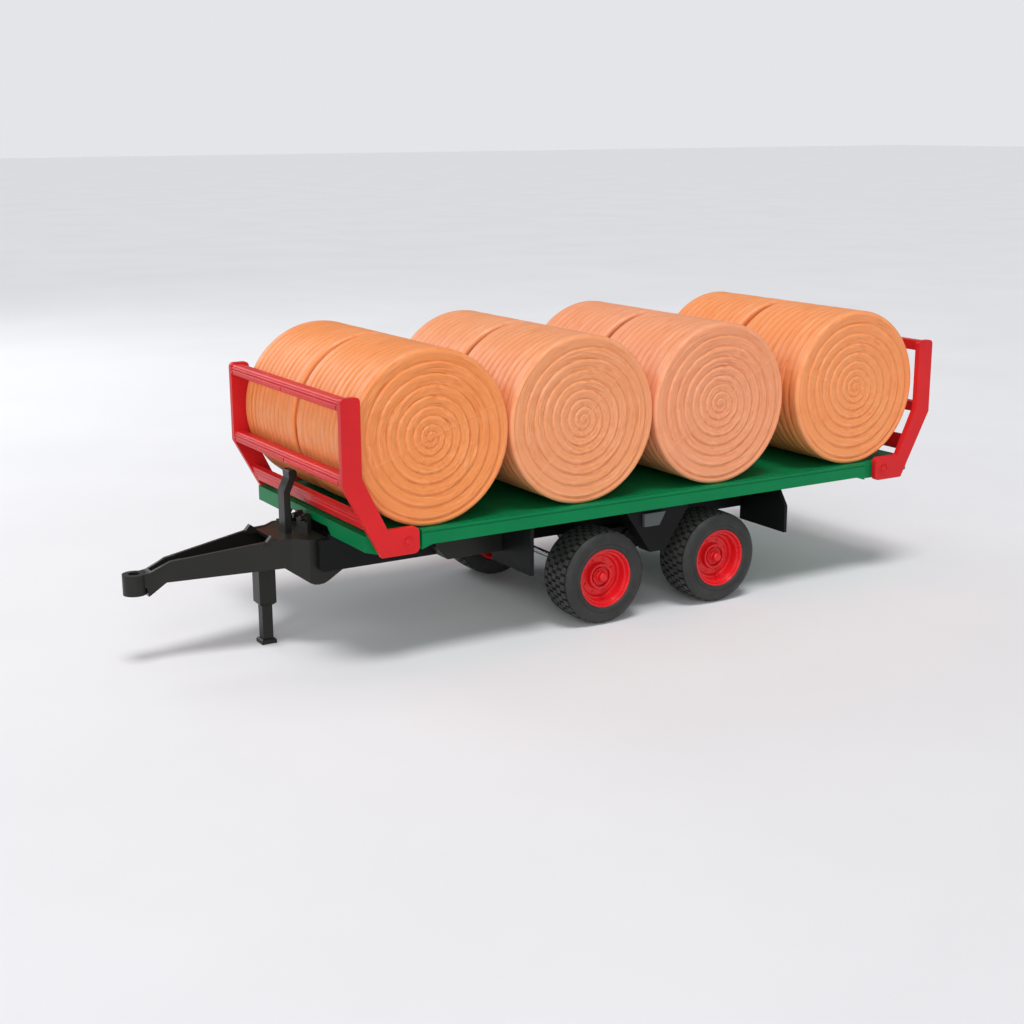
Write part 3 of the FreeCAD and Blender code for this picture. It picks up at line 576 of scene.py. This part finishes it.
def bale_barrel(node, radius, angle, off_line, seed):
    """Rings along the barrel, with the hoops fading out towards both faces."""
    low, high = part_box(node)
    start, stop = low.y + EDGE_BAND, high.y - EDGE_BAND
    along = np.linspace(0, 1, HOOPS * HOOP_SAMPLES + 1)[:, None]
    fade = np.minimum(1, np.minimum(along, 1 - along) * HOOPS)
    height = 1 - (1 - hoop_height(along, angle[None], seed)) * fade
    depth = (1 - height) * HOOP_DEPTH
    depth = (depth - seam_height(radius * off_line[None])).clip(0)
    around = np.broadcast_to(angle[None], depth.shape)
    y = start + (stop - start) * along + 0 * depth
    return polar_points(radius - depth, around, y), height


# Wheels -----------------------------------------------------------------------

def make_tyre(node, side):
    """A tyre with rows of staggered blocks between two smooth round shoulders."""
    low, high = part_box(node)
    centre, radius = (low + high) / 2, (high.z - low.z) / 2
    half = (high.y - low.y) / 2
    stops = (np.arange(TREAD_PITCHES)[:, None] + np.array(PITCH_STOPS)).reshape(-1)
    angle = stops * TURN / TREAD_PITCHES
    rings, heights = [], []
    for y, reach, depth, row in tyre_section(half, radius):
        block = tread_block(stops, row)
        rings.append(polar_points(reach - depth * (1 - block), angle[None],
                                  np.float64(side * y)))
        heights.append(block if depth else WALL_RELIEF + 0 * block)
    mesh = ring_mesh(node, np.concatenate(rings), np.concatenate(heights))
    sharpen(mesh, TREAD_SMOOTH_ANGLE)
    piece = new_piece(f"{node}_treaded", mesh)
    piece.location = centre
    stand_for(piece, node, MATERIALS["tyre_black"])


def tread_block(stops, row):
    """1 on a block and 0 in a groove, which is all the way round without a row."""
    if row is None:
        return np.zeros((1, len(stops)))
    across = (stops + 0.5 * (row % 2)) % 1.0
    return ((across > BLOCK_GAP) & (across < 1 - BLOCK_GAP)).astype(float)[None]


def tyre_section(half, radius):
    """Half-width, radius, groove depth and block row of each ring, bead to bead."""
    bead = radius * BEAD_SHARE
    wall = [(half - inset * MM, bead + rise * MM) for inset, rise in BEAD_WALL]
    wall += [(half - inset * MM, radius - drop * MM) for inset, drop in SHOULDER_WALL]
    section = [(y, reach, 0, None) for y, reach in wall]
    tread = half - TREAD_INSET
    pitch = 2 * tread / TREAD_ROWS
    for row in range(TREAD_ROWS):
        start = tread - row * pitch
        first, middle, last = (
            radius - TREAD_CROWN * ((start - share * pitch) / tread) ** 2
            for share in (0, 0.5, 1))
        section += [(start - ROW_GAP, first, TREAD_DEPTH, None),
                    (start - ROW_GAP - BLOCK_SIDE, first, TREAD_DEPTH, row),
                    (start - pitch / 2, middle, TREAD_DEPTH, row),
                    (start - pitch + ROW_GAP + BLOCK_SIDE, last, TREAD_DEPTH, row),
                    (start - pitch + ROW_GAP, last, TREAD_DEPTH, None)]
    return section + [(-y, reach, 0, None) for y, reach in reversed(wall)]


def sharpen(mesh, degrees):
    net = bmesh.new()
    net.from_mesh(mesh)
    smooth_by_angle(net, degrees)
    net.to_mesh(mesh)
    net.free()


def make_studs(rim, side):
    """Small domes in a ring on the wheel disc."""
    low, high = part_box(rim)
    centre = (low + high) / 2
    outside = high.y if side > 0 else low.y
    net = bmesh.new()
    for stud in range(WHEEL_STUDS):
        angle = (stud + 0.5) * TURN / WHEEL_STUDS
        place = Vector((centre.x + STUD_CIRCLE * math.cos(angle),
                        outside - side * RIM_DISH, centre.z + STUD_CIRCLE * math.sin(angle)))
        bmesh.ops.create_icosphere(net, subdivisions=3, radius=STUD_RADIUS,
                                   matrix=Matrix.Translation(place))
    for face in net.faces:
        face.smooth = True
    mesh = bpy.data.meshes.new(rim)
    net.to_mesh(mesh)
    net.free()
    mesh.materials.append(MATERIALS["rim_red"])
    studs = new_piece(f"{rim}_studs", mesh)
    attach(studs, body_of(rim))


# Stage ------------------------------------------------------------------------

def facing(direction):
    """The rotation that turns local +Z to this direction, with +Y upwards."""
    return Vector(direction).to_track_quat("Z", "Y").to_matrix().to_4x4()


def make_camera():
    """The camera stands ahead of the trailer on its left side and looks back."""
    azimuth, elevation = math.radians(CAMERA_AZIMUTH), math.radians(CAMERA_ELEVATION)
    back = (math.sin(azimuth) * math.cos(elevation),
            -math.cos(azimuth) * math.cos(elevation), math.sin(elevation))
    data = bpy.data.cameras.new("camera")
    data.lens = CAMERA_LENS
    data.sensor_width = CAMERA_SENSOR
    data.shift_y = CAMERA_SHIFT
    camera = bpy.data.objects.new("camera", data)
    roll = Matrix.Rotation(math.radians(CAMERA_ROLL), 4, "Z")
    camera.matrix_world = Matrix.Translation(CAMERA_PLACE) @ facing(back) @ roll
    bpy.context.scene.collection.objects.link(camera)
    bpy.context.scene.camera = camera


def area_light(name, place, size, power, colour=(1, 1, 1)):
    data = bpy.data.lights.new(name, "AREA")
    data.shape = "DISK"
    data.size = size
    data.energy = power
    data.color = colour
    light = bpy.data.objects.new(name, data)
    away = Vector(place) - Vector(LIGHT_TARGET)
    light.matrix_world = Matrix.Translation(place) @ facing(away)
    bpy.context.scene.collection.objects.link(light)


def sun_light(name, source, strength, spread):
    """A sun that shines from the source's direction, with its spread in degrees."""
    data = bpy.data.lights.new(name, "SUN")
    data.energy = strength
    data.angle = math.radians(spread)
    light = bpy.data.objects.new(name, data)
    light.matrix_world = facing(source)
    bpy.context.scene.collection.objects.link(light)


def make_world():
    """Pale backdrop, with less light from it than its brightness would give."""
    world = bpy.data.worlds.new("studio")
    world.use_nodes = True
    tree = world.node_tree
    fill = tree.nodes["Background"]
    fill.inputs["Color"].default_value = (0.94, 0.96, 1, 1)
    fill.inputs["Strength"].default_value = 0.3
    backdrop = tree.nodes.new("ShaderNodeBackground")
    backdrop.inputs["Color"].default_value = linear(228, 229, 233)
    choice = tree.nodes.new("ShaderNodeMixShader")
    seen = tree.nodes.new("ShaderNodeLightPath").outputs["Is Camera Ray"]
    tree.links.new(seen, choice.inputs["Fac"])
    tree.links.new(fill.outputs[0], choice.inputs[1])
    tree.links.new(backdrop.outputs[0], choice.inputs[2])
    tree.links.new(choice.outputs[0], tree.nodes["World Output"].inputs["Surface"])
    bpy.context.scene.world = world


def make_stage():
    bpy.ops.mesh.primitive_plane_add(size=FLOOR_SIZE)
    floor = bpy.context.object
    floor.name = "floor"
    floor.data.materials.append(floor_paper())
    make_world()
    bpy.context.scene.view_settings.view_transform = "Standard"
    sun_light("key", source=(0.1, 0.25, 0.95), strength=1.7, spread=20)
    sun_light("face", source=(0.45, 0.85, 0.4), strength=0.9, spread=40)
    area_light("front", place=(1.6, 0.5, 0.7), size=0.9, power=4, colour=(1, 0.98, 0.95))
    area_light("back", place=(0.55, -1.4, 0.85), size=1.0, power=6)


make_camera()
make_stage()
for bale_row in range(1, BALE_ROWS + 1):
    for bale_side in SIDES:
        make_bale(bale_row, bale_side)
for wheel_end in ENDS:
    for wheel_side, toward in SIDES.items():
        make_tyre(f"{wheel_end}_{wheel_side}_tyre", toward)
        make_studs(f"{wheel_end}_{wheel_side}_rim", toward)
for cad_node in frame["nodes"]:
    if not cad_node.startswith("bale_") and not cad_node.endswith("_tyre"):
        softened(cad_node)
